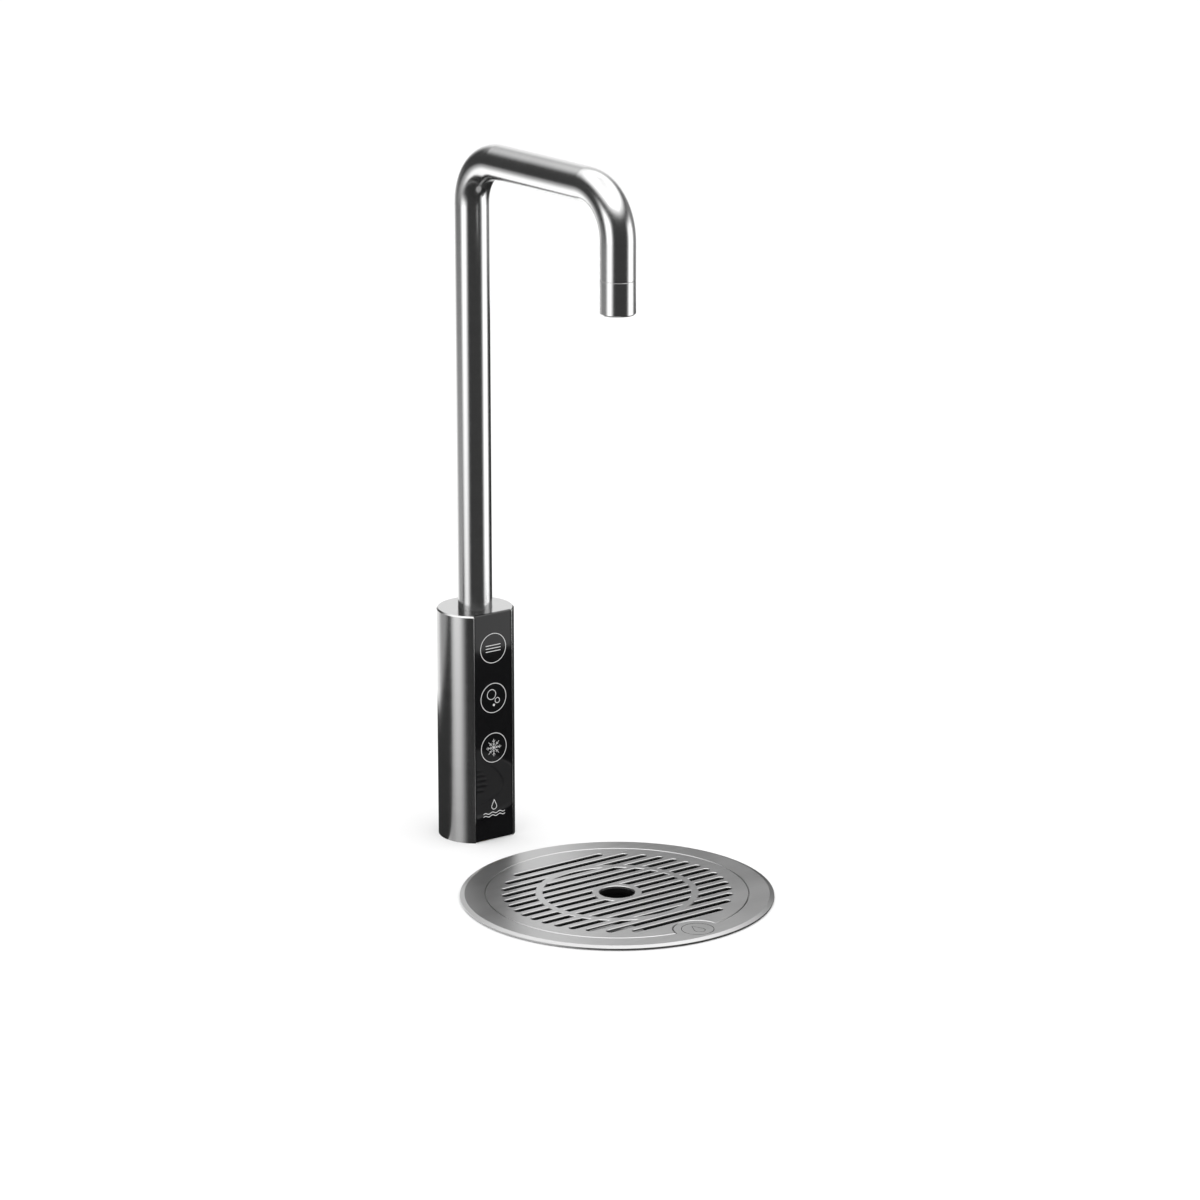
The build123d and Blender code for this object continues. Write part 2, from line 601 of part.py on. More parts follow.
def drain_body():
    """Flange, threaded stem and hose spigot, with a seat for the strainer."""
    seat = BOWL_FLOOR_SUMP + DRAIN_SEAL
    top = seat + DRAIN_FLANGE
    strainer_seat = seat - STRAINER_SHEET
    funnel = strainer_seat - 2.0
    return turned(
        [
            (DRAIN_BORE_RADIUS, DRAIN_SPIGOT_LOW), (DRAIN_SPIGOT_RADIUS - 0.6, DRAIN_SPIGOT_LOW),
            (DRAIN_SPIGOT_RADIUS, DRAIN_SPIGOT_LOW + 0.6), (DRAIN_SPIGOT_RADIUS, DRAIN_STEM_LOW),
            (DRAIN_STEM_RADIUS, DRAIN_STEM_LOW), (DRAIN_STEM_RADIUS, seat),
            (DRAIN_FLANGE_RADIUS, seat), (DRAIN_FLANGE_RADIUS, top - 1.0), (DRAIN_FLANGE_RADIUS - 2, top),
            (STRAINER_RADIUS + 0.6, top), (STRAINER_RADIUS + 0.05, top - 0.6),
            (STRAINER_RADIUS + 0.05, strainer_seat), (STRAINER_RADIUS - 1, strainer_seat),
            (STRAINER_RADIUS - 1, funnel), (DRAIN_BORE_RADIUS, funnel - 4),
        ],
        TRAY_Y,
    )


def drain_strainer():
    low = BOWL_FLOOR_SUMP + DRAIN_SEAL - STRAINER_SHEET
    plate = disc(STRAINER_RADIUS, low, low + STRAINER_SHEET, 0, TRAY_Y)
    plate -= disc(STRAINER_HOLE_RADIUS, low - 1, low + 3, 0, TRAY_Y)
    for radius, count in ((4.2, 6), (8.4, 12)):
        for i in range(count):
            angle = 2 * pi * i / count
            x, y = radius * cos(angle), TRAY_Y + radius * sin(angle)
            plate -= disc(STRAINER_HOLE_RADIUS, low - 1, low + 3, x, y)
    return plate


def drain_washer():
    high = BOWL_FLOOR_SUMP - BOWL_SHEET
    return ring(DRAIN_FLANGE_RADIUS + 0.5, DRAIN_STEM_RADIUS + SLIDING_GAP, high - DRAIN_WASHER, high, 0, TRAY_Y)


def drain_nut():
    high = BOWL_FLOOR_SUMP - BOWL_SHEET - DRAIN_WASHER
    bore = DRAIN_STEM_RADIUS + THREAD_CLEARANCE
    return hex_nut(DRAIN_NUT_ACROSS_FLATS, bore, high - DRAIN_NUT_HEIGHT, high, TRAY_Y)


def main():
    places = inlet_places()
    pieces = {
        "column_shell": column_shell(),
        "base_plug": base_plug(),
        "base_seal": base_seal(),
        "touch_glass": touch_glass(),
        "glass_tape": glass_tape(),
        "light_guide": light_guide(),
        "touch_board": touch_board(),
        "touch_sensors": touch_sensors(),
        "board_screws": board_screws(),
        "board_socket": board_socket(),
        "signal_cable": signal_cable(),
        "signal_socket": signal_socket(),
        "spout_tube": spout_tube(),
        "spout_collar": spout_collar(),
        "spout_grub_screw": grub_screw(),
        "spout_seal": spout_seal(),
        "still_water_line": water_line(*LINE_PLACES[0], *places["still"]),
        "sparkling_water_line": water_line(*LINE_PLACES[1], *places["sparkling"]),
        "chilled_water_line": water_line(*LINE_PLACES[2], *places["chilled"]),
        "nozzle_adapter": nozzle_adapter(),
        "nozzle_tip": nozzle_tip(),
        "nozzle_cartridge": nozzle_cartridge(),
        "nozzle_seal": nozzle_seal(),
        "mounting_shank": mounting_shank(),
        "clamp_seal": clamp_seal(),
        "clamp_washer": clamp_washer(),
        "clamp_nut": clamp_nut(),
        "inlet_plate": inlet_plate(),
        "still_inlet": water_inlet(*places["still"]),
        "sparkling_inlet": water_inlet(*places["sparkling"]),
        "chilled_inlet": water_inlet(*places["chilled"]),
        "tray_rim": tray_rim(),
        "tray_basin": tray_basin(),
        "rim_seal": rim_seal(),
        "tray_grille": tray_grille(),
        "grille_pads": grille_pads(),
        "drain_seal": drain_seal(),
        "drain_body": drain_body(),
        "drain_strainer": drain_strainer(),
        "drain_washer": drain_washer(),
        "drain_nut": drain_nut(),
    }
    os.makedirs("parts", exist_ok=True)
    for name, shape in pieces.items():
        export_step(shape, f"parts/{name}.step")


main()
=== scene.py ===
"""Countertop water dispenser: a column tap with a glass touch panel, over a flush round drip tray.

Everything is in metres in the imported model's frame: +Z up, the front -Y, the worktop at Z = 0.
"""
import math

import bmesh
import bpy
from mathutils import Matrix, Vector


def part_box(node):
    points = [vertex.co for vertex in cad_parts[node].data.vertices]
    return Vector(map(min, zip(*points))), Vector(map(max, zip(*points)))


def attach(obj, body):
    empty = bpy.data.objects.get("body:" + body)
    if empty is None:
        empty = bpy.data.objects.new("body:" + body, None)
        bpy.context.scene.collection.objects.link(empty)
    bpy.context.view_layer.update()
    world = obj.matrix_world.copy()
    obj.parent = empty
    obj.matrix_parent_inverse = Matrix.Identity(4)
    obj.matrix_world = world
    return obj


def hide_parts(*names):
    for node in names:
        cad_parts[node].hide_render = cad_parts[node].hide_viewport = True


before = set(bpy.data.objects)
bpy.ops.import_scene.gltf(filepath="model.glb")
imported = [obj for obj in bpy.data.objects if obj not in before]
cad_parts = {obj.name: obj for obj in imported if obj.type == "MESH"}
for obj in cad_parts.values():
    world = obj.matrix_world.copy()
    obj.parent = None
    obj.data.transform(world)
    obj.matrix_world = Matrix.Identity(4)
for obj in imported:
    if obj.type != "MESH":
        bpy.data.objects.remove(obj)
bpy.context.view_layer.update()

MM = 0.001

RIM_LOW, RIM_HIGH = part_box("tray_rim")
TRAY_Y = (RIM_LOW[1] + RIM_HIGH[1]) / 2
RIM_TOP = RIM_HIGH[2]
BADGE_Y = TRAY_Y - 82.8 * MM
BADGE_REACH = 11.5 * MM  # the badge's engraving lies within this of its middle
GLASS_FACE_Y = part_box("touch_glass")[0][1]
SPOUT_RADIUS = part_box("nozzle_tip")[1][0]
SPOUT_BEND = 30.0 * MM  # to the middle of the tube
SPOUT_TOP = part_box("spout_tube")[1][2]

# ---------------------------------------------------------------- shader building


class Value:
    """A shader socket that takes part in sums: each operator adds a Math node."""

    def __init__(self, shade, socket):
        self.shade = shade
        self.socket = socket

    def sum_with(self, operation, first, second):
        return self.shade.node("ShaderNodeMath", {"operation": operation}, {0: first, 1: second})

    def __add__(self, other):
        return self.sum_with("ADD", self, other)

    def __radd__(self, other):
        return self.sum_with("ADD", other, self)

    def __sub__(self, other):
        return self.sum_with("SUBTRACT", self, other)

    def __rsub__(self, other):
        return self.sum_with("SUBTRACT", other, self)

    def __mul__(self, other):
        return self.sum_with("MULTIPLY", self, other)

    def __rmul__(self, other):
        return self.sum_with("MULTIPLY", other, self)


class Shade:
    """A node tree being built, for a material or for the world."""

    def __init__(self, tree):
        self.tree = tree
        tree.nodes.clear()

    def node(self, kind, settings=None, values=None, out=0):
        """Adds one node. settings are set first, then each socket in values gets its number or link."""
        made = self.tree.nodes.new(kind)
        for key, setting in (settings or {}).items():
            setattr(made, key, setting)
        for key, value in (values or {}).items():
            if isinstance(value, Value):
                self.tree.links.new(value.socket, made.inputs[key])
            else:
                made.inputs[key].default_value = value
        self.last = made
        return Value(self, made.outputs[out]) if made.outputs else made

    def axes(self, vector):
        """The three parts of a vector."""
        self.node("ShaderNodeSeparateXYZ", None, {0: vector})
        return [Value(self, socket) for socket in self.last.outputs]

    def vector(self, x, y, z):
        """One vector from its three parts."""
        return self.node("ShaderNodeCombineXYZ", None, {0: x, 1: y, 2: z})

    def place(self):
        """Where a point is on the object, in metres."""
        return self.node("ShaderNodeTexCoord", None, None, "Object")

    def scaled(self, vector, scale):
        """A vector stretched by a scale for each axis."""
        return self.node("ShaderNodeMapping", None, {"Vector": vector, "Scale": scale})

    def noise(self, vector, scale=1.0, detail=2.0, roughness=0.5):
        """Smooth noise from 0 to 1."""
        values = {"Vector": vector, "Scale": scale, "Detail": detail, "Roughness": roughness}
        return self.node("ShaderNodeTexNoise", None, values, "Fac")

    def between(self, factor, first, second):
        """A colour mixed from two, by a factor."""
        values = {"Factor": factor, "A": first, "B": second}
        made = self.tree.nodes.new("ShaderNodeMix")
        made.data_type = "RGBA"
        for key, value in values.items():
            kind = "VALUE" if key == "Factor" else "RGBA"
            socket = next(s for s in made.inputs if s.name == key and s.type == kind)
            if isinstance(value, Value):
                self.tree.links.new(value.socket, socket)
            else:
                socket.default_value = value if key == "Factor" else (*value, 1.0)
        return Value(self, next(s for s in made.outputs if s.type == "RGBA"))

    def bump(self, height, strength, distance):
        """A normal tilted by a height, in metres of distance."""
        values = {"Height": height, "Strength": strength, "Distance": distance}
        return self.node("ShaderNodeBump", None, values, "Normal")


def material(name, build, **fixed):
    """A material: build(shade) gives the sockets that vary over the surface, and fixed gives the others."""
    made = bpy.data.materials.new(name)
    made.use_nodes = True
    shade = Shade(made.node_tree)
    surface = shade.node("ShaderNodeBsdfPrincipled", None, fixed | build(shade))
    shade.node("ShaderNodeOutputMaterial", None, {"Surface": surface})
    return made


# ---------------------------------------------------------------- finishes


def colour(level):
    """A grey."""
    return (level, level, level)


FINE_GRAIN, COARSE_GRAIN = 2600.0, 700.0  # to a metre, across the lines of brushed steel
# Painted shade: the near-black colour of the grille's lower part, and that part's roughness.
PAINTED_SHADE_STEEL, PAINTED_SHADE_ROUGHNESS = 0.03, 0.55
# Painted shade: the near-black colour of the badge's engraved groove.
BADGE_PAINTED_SHADE = 0.02


def brushed(name, along, light, dark, rough, depth, grain=1.0, painted_shade_below=None, painted_badge_shade=False):
    """Steel with fine straight grain, drawn out along each axis by its number in along.

    Below a given height it is painted near black and rougher: painted shade in the slots and under the plate.
    With the badge option the badge's engraved groove is painted near black: painted shade in the groove.
    """

    def build(shade):
        place = shade.place()
        fine = shade.noise(shade.scaled(place, tuple(FINE_GRAIN * grain / a for a in along)), 1.0, 3.0, 0.6)
        coarse = shade.noise(shade.scaled(place, tuple(COARSE_GRAIN * grain / a for a in along)), 1.0, 2.0)
        cloud = shade.noise(place, 26.0, 3.0)
        lines = fine * 0.65 + coarse * 0.35
        tone = shade.between(lines * 0.6 + cloud * 0.4, dark, light)
        gloss = rough + (lines - 0.5) * 0.2 + (cloud - 0.5) * 0.06
        # Painted shade: below the height the steel is near black and rougher, for the shade in the slots and
        # under the plate. polished is 1 above the height and 0 in the painted shade.
        if painted_shade_below is not None:
            values = {"Value": shade.axes(place)[2], "From Min": painted_shade_below - 0.5 * MM, "From Max": painted_shade_below}
            polished = shade.node("ShaderNodeMapRange", None, values)
            tone = shade.between(polished, colour(PAINTED_SHADE_STEEL), tone)
            gloss = gloss * polished + (1.0 - polished) * PAINTED_SHADE_ROUGHNESS
        # Painted shade: inside the badge and below the rim's top, the engraved groove is painted near black. cut
        # is the mask of that painted shade.
        if painted_badge_shade:
            x, y, z = shade.axes(place)
            off_y = y - BADGE_Y
            far = shade.node("ShaderNodeMath", {"operation": "SQRT"}, {0: x * x + off_y * off_y})
            inside = shade.node("ShaderNodeMath", {"operation": "LESS_THAN"}, {0: far, 1: BADGE_REACH})
            below = shade.node("ShaderNodeMath", {"operation": "LESS_THAN"}, {0: z, 1: RIM_TOP - 0.05 * MM})
            cut = inside * below
            tone = shade.between(cut, tone, colour(BADGE_PAINTED_SHADE))
            gloss = gloss + cut * 0.3
        return {"Base Color": tone, "Roughness": gloss, "Normal": shade.bump(lines, depth, 0.00004)}

    return material(name, build, Metallic=1.0)


def spout_grain(name, rough, depth):
    """Steel turned across the tube: the grain goes round it, along the straights and the bends."""

    def build(shade):
        low_bend = SPOUT_TOP - SPOUT_RADIUS - SPOUT_BEND  # the height at which both bends begin
        back, front = -SPOUT_BEND, TRAY_Y + SPOUT_BEND  # and where they meet the level run
        nothing = 0.00001  # keeps both sides of a turn off zero
        x, y, z = shade.axes(shade.place())

        def at_least(value, limit):
            return shade.node("ShaderNodeMath", {"operation": "MAXIMUM"}, {0: value, 1: limit})

        def turn_of(over, beside):
            return shade.node("ShaderNodeMath", {"operation": "ARCTAN2"}, {0: over, 1: beside})

        over = at_least(z - low_bend, 0.0)
        level = at_least(back - at_least(y, front), 0.0)
        first_bend = turn_of(over, at_least(y - back, nothing))
        second_bend = turn_of(at_least(front - y, 0.0), at_least(over, nothing))
        along = z - over + level + (first_bend + second_bend) * SPOUT_BEND
        fine = shade.noise(shade.vector(along * 2400.0, x * 60.0, 0.0), 1.0, 3.0, 0.6)
        coarse = shade.noise(shade.vector(along * 500.0, x * 30.0, y * 30.0), 1.0, 2.0)
        lines = fine * 0.7 + coarse * 0.3
        cloud = shade.noise(shade.place(), 30.0, 3.0)
        return {
            "Base Color": shade.between(lines * 0.6 + cloud * 0.4, colour(0.56), colour(0.7)),
            "Roughness": rough + (lines - 0.5) * 0.12 + (cloud - 0.5) * 0.04,
            "Normal": shade.bump(lines, depth, 0.00003),
        }

    return material(name, build, Metallic=1.0)


def moulded(name, light, dark, rough, grain=900.0, depth=0.15, **fixed):
    """Moulded plastic or rubber: a fine even texture and a little unevenness of colour."""

    def build(shade):
        place = shade.place()
        cloud = shade.noise(place, 60.0, 3.0)
        texture = shade.noise(place, grain, 2.0)
        return {
            "Base Color": shade.between(cloud, dark, light),
            "Roughness": rough + (texture - 0.5) * 0.15,
            "Normal": shade.bump(texture, depth, 0.00005),
        }

    return material(name, build, **fixed)


def turned_brass(name):
    """Brass with the fine rings of a lathe and a little patina."""

    def build(shade):
        place = shade.place()
        rings = shade.noise(shade.scaled(place, (40.0, 40.0, 2200.0)), 1.0, 2.0)
        patina = shade.noise(place, 70.0, 4.0)
        return {
            "Base Color": shade.between(patina, (0.62, 0.42, 0.17), (0.86, 0.67, 0.36)),
            "Roughness": 0.24 + rings * 0.12 + patina * 0.1,
            "Normal": shade.bump(rings, 0.12, 0.00004),
        }

    return material(name, build, Metallic=1.0)


def panel_glass(name):
    """Black back-printed glass, with the faintest trace of wiping."""

    def build(shade):
        place = shade.place()
        wipe = shade.noise(shade.scaled(place, (90.0, 90.0, 30.0)), 1.0, 4.0)
        return {
            "Base Color": shade.between(wipe, (0.0035, 0.0035, 0.004), (0.006, 0.006, 0.0065)),
            "Roughness": 0.035 + wipe * 0.03,
        }

    return material(name, build, IOR=1.52)


def circuit(name):
    """Green lacquer over a maze of copper tracks."""

    def build(shade):
        place = shade.place()
        bricks = {"Vector": shade.scaled(place, (420.0, 420.0, 300.0)), "Scale": 1.0, "Mortar Size": 0.06}
        tracks = shade.node("ShaderNodeTexBrick", {"offset": 0.5}, bricks, "Fac")
        cloud = shade.noise(place, 300.0, 2.0)
        return {
            "Base Color": shade.between(tracks, (0.006, 0.09, 0.035), (0.03, 0.2, 0.08)),
            "Roughness": 0.35 + cloud * 0.15,
            "Normal": shade.bump(tracks, 0.3, 0.00005),
        }

    return material(name, build)


def printed(name, light):
    """Pale print that lights up a little from behind."""

    def build(shade):
        grain = shade.noise(shade.place(), 4000.0, 1.0)
        tone = shade.between(grain, colour(light * 0.92), colour(light))
        return {"Base Color": tone, "Emission Color": tone, "Roughness": 0.4 + grain * 0.1}

    return material(name, build, **{"Emission Strength": 0.22})


ACROSS_Z = (40.0, 40.0, 1.0)  # grain that runs round an upright piece
ALONG_X = (60.0, 1.0, 1.0)  # grain that runs from side to side
EVEN = (1.0, 1.0, 1.0)  # a satin finish, the same every way

FINISHES = {
    "column_steel": brushed("column_steel", ACROSS_Z, colour(0.57), colour(0.48), 0.2, 0.05),
    # The tray's badge groove is painted near black: painted shade.
    "tray_steel": brushed("tray_steel", ALONG_X, colour(0.62), colour(0.43), 0.34, 0.18, painted_badge_shade=True),
    # The grille is painted near black below 1.2 mm: painted shade in its slots and under it.
    "grille_steel": brushed(
        "grille_steel", ALONG_X, colour(0.62), colour(0.43), 0.34, 0.18, painted_shade_below=1.2 * MM
    ),
    # The bowl is brushed steel whose colour is painted far darker than bare steel: painted shade for the dark
    # under the grille.
    "basin_steel_painted_shade": brushed("basin_steel_painted_shade", EVEN, colour(0.085), colour(0.055), 0.46, 0.1, 0.4),
    "bright_steel": brushed("bright_steel", (1.0, 1.0, 6.0), colour(0.62), colour(0.5), 0.25, 0.1, 0.6),
    "spout_steel": spout_grain("spout_steel", 0.21, 0.07),
    "brass": turned_brass("turned_brass"),
    "black_glass": panel_glass("black_panel_glass"),
    "print": printed("pale_print", 0.55),
    "board": circuit("green_circuit_board"),
    "rubber": moulded("black_rubber", colour(0.035), colour(0.02), 0.75, 1400.0, 0.3),
    "black_plastic": moulded("black_moulding", colour(0.06), colour(0.035), 0.5),
    "grey_plastic": moulded("grey_moulding", colour(0.56), colour(0.48), 0.42),
    "dark_plastic": moulded("dark_grey_moulding", colour(0.13), colour(0.09), 0.45),
    "milky_plastic": moulded("milky_light_guide", colour(0.8), colour(0.72), 0.35),
    "gilt": moulded("gilded_pads", (0.85, 0.62, 0.25), (0.7, 0.5, 0.2), 0.3, Metallic=1.0),
    "still_tube": moulded("natural_water_tube", (0.82, 0.84, 0.86), (0.74, 0.76, 0.78), 0.3),
    "sparkling_tube": moulded("blue_water_tube", (0.16, 0.34, 0.68), (0.12, 0.26, 0.58), 0.3),
    "chilled_tube": moulded("teal_water_tube", (0.1, 0.45, 0.46), (0.08, 0.36, 0.37), 0.3),
}

NODE_FINISH = {
    "column_shell": "column_steel",
    "base_plug": "bright_steel",
    "base_seal": "rubber",
    "touch_glass": "black_glass",
    "glass_tape": "black_plastic",
    "light_guide": "milky_plastic",
    "touch_board": "board",
    "touch_sensors": "gilt",
    "board_screws": "bright_steel",
    "board_socket": "black_plastic",
    "signal_cable": "black_plastic",
    "signal_socket": "black_plastic",
    "spout_tube": "spout_steel",
    "spout_collar": "brass",
    "spout_grub_screw": "bright_steel",
    "spout_seal": "rubber",
    "still_water_line": "still_tube",
    "sparkling_water_line": "sparkling_tube",
    "chilled_water_line": "chilled_tube",
    "nozzle_adapter": "brass",
    "nozzle_tip": "spout_steel",
    "nozzle_cartridge": "dark_plastic",
    "nozzle_seal": "rubber",
    "mounting_shank": "brass",
    "clamp_seal": "rubber",
    "clamp_washer": "bright_steel",
    "clamp_nut": "brass",
    "inlet_plate": "black_plastic",
    "still_inlet": "grey_plastic",
    "sparkling_inlet": "grey_plastic",
    "chilled_inlet": "grey_plastic",
    "tray_rim": "tray_steel",
    "tray_basin": "basin_steel_painted_shade",
    "rim_seal": "rubber",
    "tray_grille": "grille_steel",
    "grille_pads": "rubber",
    "drain_seal": "rubber",
    "drain_body": "grey_plastic",
    "drain_strainer": "bright_steel",
    "drain_washer": "rubber",
    "drain_nut": "grey_plastic",
}

for node, finish in NODE_FINISH.items():
    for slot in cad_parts[node].material_slots:
        slot.material = FINISHES[finish]

# ---------------------------------------------------------------- pieces


def piece(name, mesh, finish, body):
    """A finished piece at the origin, which rides on a body."""
    made = bpy.data.objects.new(name, mesh)
    bpy.context.scene.collection.objects.link(made)
    mesh.materials.clear()
    mesh.materials.append(FINISHES[finish])
    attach(made, body)
    return made


def mesh_from(name, work, smooth_angle=None):
    """A mesh from a bmesh, with its doubles merged and its faces pointing outwards."""
    bmesh.ops.remove_doubles(work, verts=work.verts, dist=1e-7)
    bmesh.ops.recalc_face_normals(work, faces=work.faces)
    mesh = bpy.data.meshes.new(name)
    work.to_mesh(mesh)
    work.free()
    if smooth_angle is not None:
        mesh.shade_smooth()
        mesh.set_sharp_from_angle(angle=math.radians(smooth_angle))
    return mesh


def evaluated(drawn):
    """The mesh of an object as its modifiers leave it."""
    return bpy.data.meshes.new_from_object(drawn.evaluated_get(bpy.context.evaluated_depsgraph_get()))


def plate_with_holes(outline, holes, low, high):
    """A flat plate cut to an outline in x and y, with round holes given as (x, y, radius)."""
    curve = bpy.data.curves.new("plate", "CURVE")
    curve.dimensions = "2D"
    curve.fill_mode = "BOTH"
    curve.extrude = (high - low) / 2
    for points in [outline, *(circle(*hole) for hole in holes)]:
        spline = curve.splines.new("POLY")
        spline.points.add(len(points) - 1)
        for point, (x, y) in zip(spline.points, points):
            point.co = (x, y, 0, 1)
        spline.use_cyclic_u = True
    drawn = bpy.data.objects.new("plate", curve)
    bpy.context.scene.collection.objects.link(drawn)
    mesh = evaluated(drawn)
    bpy.data.objects.remove(drawn)
    mesh.transform(Matrix.Translation((0, 0, (low + high) / 2)))
    return mesh


def circle(x, y, radius, count=96):
    """Points round a circle."""
    turns = [2 * math.pi * i / count for i in range(count)]
    return [(x + radius * math.cos(turn), y + radius * math.sin(turn)) for turn in turns]


def copies_tree():
    """A tree for copies of one printed shape on the glass, each turned and moved by one more step."""
    tree = bpy.data.node_groups.new("printed_copies", "GeometryNodeTree")
    inputs = {
        "Geometry": "NodeSocketGeometry",
        "Count": "NodeSocketInt",
        "Turn": "NodeSocketFloat",
        "Step": "NodeSocketFloat",
        "Height": "NodeSocketFloat",
        "Ink": "NodeSocketMaterial",
    }
    for name, kind in inputs.items():
        tree.interface.new_socket(name, in_out="INPUT", socket_type=kind)
    tree.interface.new_socket("Geometry", in_out="OUTPUT", socket_type="NodeSocketGeometry")
    given = tree.nodes.new("NodeGroupInput")

    def node(kind, links, operation=None):
        """Adds one node and gives its first output."""
        made = tree.nodes.new(kind)
        if operation:
            made.operation = operation
        for key, value in links.items():
            if isinstance(value, bpy.types.NodeSocket):
                tree.links.new(value, made.inputs[key])
            else:
                made.inputs[key].default_value = value
        return made.outputs[0]

    points = node("GeometryNodePoints", {"Count": given.outputs["Count"]})
    number = node("GeometryNodeInputIndex", {})
    turned_by = node("ShaderNodeMath", {0: number, 1: given.outputs["Turn"]}, "MULTIPLY")
    moved_by = node("ShaderNodeMath", {0: number, 1: given.outputs["Step"]}, "MULTIPLY")
    height = node("ShaderNodeMath", {0: moved_by, 1: given.outputs["Height"]}, "ADD")
    turn = node("ShaderNodeCombineXYZ", {"Y": turned_by})
    place = node("ShaderNodeCombineXYZ", {"Y": GLASS_FACE_Y, "Z": height})
    put = node("GeometryNodeSetPosition", {"Geometry": points, "Position": place})
    instances = {"Points": put, "Instance": given.outputs["Geometry"], "Rotation": turn}
    copies = node("GeometryNodeInstanceOnPoints", instances)
    real = node("GeometryNodeRealizeInstances", {"Geometry": copies})
    inked = node("GeometryNodeSetMaterial", {"Geometry": real, "Material": given.outputs["Ink"]})
    tree.links.new(inked, tree.nodes.new("NodeGroupOutput").inputs[0])
    return tree


COPIES = copies_tree()


def printed_copies(mesh, count, turn, step, height):
    """Turns one shape round the middle of a key, or stacks it, through the copies tree."""
    drawn = bpy.data.objects.new("printing", mesh)
    bpy.context.scene.collection.objects.link(drawn)
    modifier = drawn.modifiers.new("copies", "NODES")
    modifier.node_group = COPIES
    values = {"Count": count, "Turn": turn, "Step": step, "Height": height, "Ink": FINISHES["print"]}
    for side in COPIES.interface.items_tree:
        if side.in_out == "INPUT" and side.name in values:
            modifier[side.identifier] = values[side.name]
    made = evaluated(drawn)
    drawn.modifiers.clear()
    bpy.data.objects.remove(drawn)
    return made


PRINT_DEPTH = 0.03 * MM


def printed_face(work, outline, hole=()):
    """Adds one flat printed shape, from its outline in x and z, with an open middle if asked."""

    def loop(points, y):
        return [work.verts.new((x, y, z)) for x, z in points]

    near, far = loop(outline, -PRINT_DEPTH), loop(outline, 0)
    if hole:
        rings = [near, loop(hole, -PRINT_DEPTH), loop(hole, 0), far, near]
    else:
        rings = [near, far]
        work.faces.new(near)
        work.faces.new(far[::-1])
    for a, b in zip(rings, rings[1:]):
        for i in range(len(a)):
            j = (i + 1) % len(a)
            work.faces.new((a[i], a[j], b[j], b[i]))


def printed_ring(work, x, z, radius, line):
    """A ring, with the radius at the middle of its line."""
    printed_face(work, circle(x, z, radius + line / 2), circle(x, z, radius - line / 2))


def printed_bar(work, start, end, width, count=4):
    """A straight line with round ends."""
    (x0, z0), (x1, z1) = start, end
    heading = math.atan2(z1 - z0, x1 - x0)
    points = []
    for (x, z), first in (((x1, z1), heading - math.pi / 2), ((x0, z0), heading + math.pi / 2)):
        for i in range(count + 1):
            angle = first + math.pi * i / count
            points.append((x + width / 2 * math.cos(angle), z + width / 2 * math.sin(angle)))
    printed_face(work, points)


KEY_HEIGHTS = {"still": 129.7 * MM, "sparkling": 96.2 * MM, "chilled": 62.6 * MM}
KEY_RADIUS = 9.8 * MM
KEY_LINE = 0.44 * MM

# A sign is a list of shapes, each its mesh, the number of its copies, the turn and the step up from one copy to
# the next, and the height of the first one over the middle of its key.


def still_sign():
    """Three level lines."""
    work = bmesh.new()
    printed_bar(work, (-5.6 * MM, 0), (5.6 * MM, 0), 0.48 * MM)
    return [(mesh_from("line", work), 3, 0.0, 2.0 * MM, -2.0 * MM)]


def sparkling_sign():
    """Two bubbles and a dot."""
    work = bmesh.new()
    line = 0.42 * MM
    printed_ring(work, -1.5 * MM, 2.5 * MM, 3.3 * MM, line)
    printed_ring(work, 3.0 * MM, -2.0 * MM, 1.75 * MM, line)
    printed_face(work, circle(0.3 * MM, -4.8 * MM, 0.85 * MM, 24))
    return [(mesh_from("bubbles", work), 1, 0.0, 0.0, 0.0)]


def chilled_sign():
    """A snowflake of four barbed arms, with four plainer ones between them."""
    reach, barb_width = 5.7 * MM, 0.26 * MM

    def arm(heading, width, barbs):
        """One arm. A barb has its root and end as parts of the reach, and how far it stands out."""
        work = bmesh.new()
        along = (math.cos(heading), math.sin(heading))

        def at(out, side):
            return (out * along[0] - side * along[1], out * along[1] + side * along[0])

        printed_bar(work, at(0, 0), at(reach, 0), width)
        for root, end, side in barbs:
            for hand in (-1, 1):
                printed_bar(work, at(reach * root, 0), at(reach * end, hand * side), barb_width)
        return (mesh_from("arm", work), 4, math.pi / 2, 0.0, 0.0)

    return [
        arm(0.0, 0.36 * MM, ((0.3, 0.48, 0.9 * MM), (0.62, 0.84, 1.1 * MM))),
        arm(math.pi / 4, 0.3 * MM, ((0.5, 0.7, 0.85 * MM),)),
    ]


def joined(meshes):
    """One mesh from several."""
    work = bmesh.new()
    for mesh in meshes:
        work.from_mesh(mesh)
    whole = bpy.data.meshes.new("joined")
    work.to_mesh(whole)
    work.free()
    return whole


for key, sign in (("still", still_sign), ("sparkling", sparkling_sign), ("chilled", chilled_sign)):
    edge = bmesh.new()
    printed_ring(edge, 0, 0, KEY_RADIUS, KEY_LINE)
    shapes = [(mesh_from("ring", edge), 1, 0.0, 0.0, 0.0), *sign()]
    parts = [printed_copies(*how, KEY_HEIGHTS[key] + low) for *how, low in shapes]
    piece(key + "_water_key", joined(parts), "print", "dispenser")


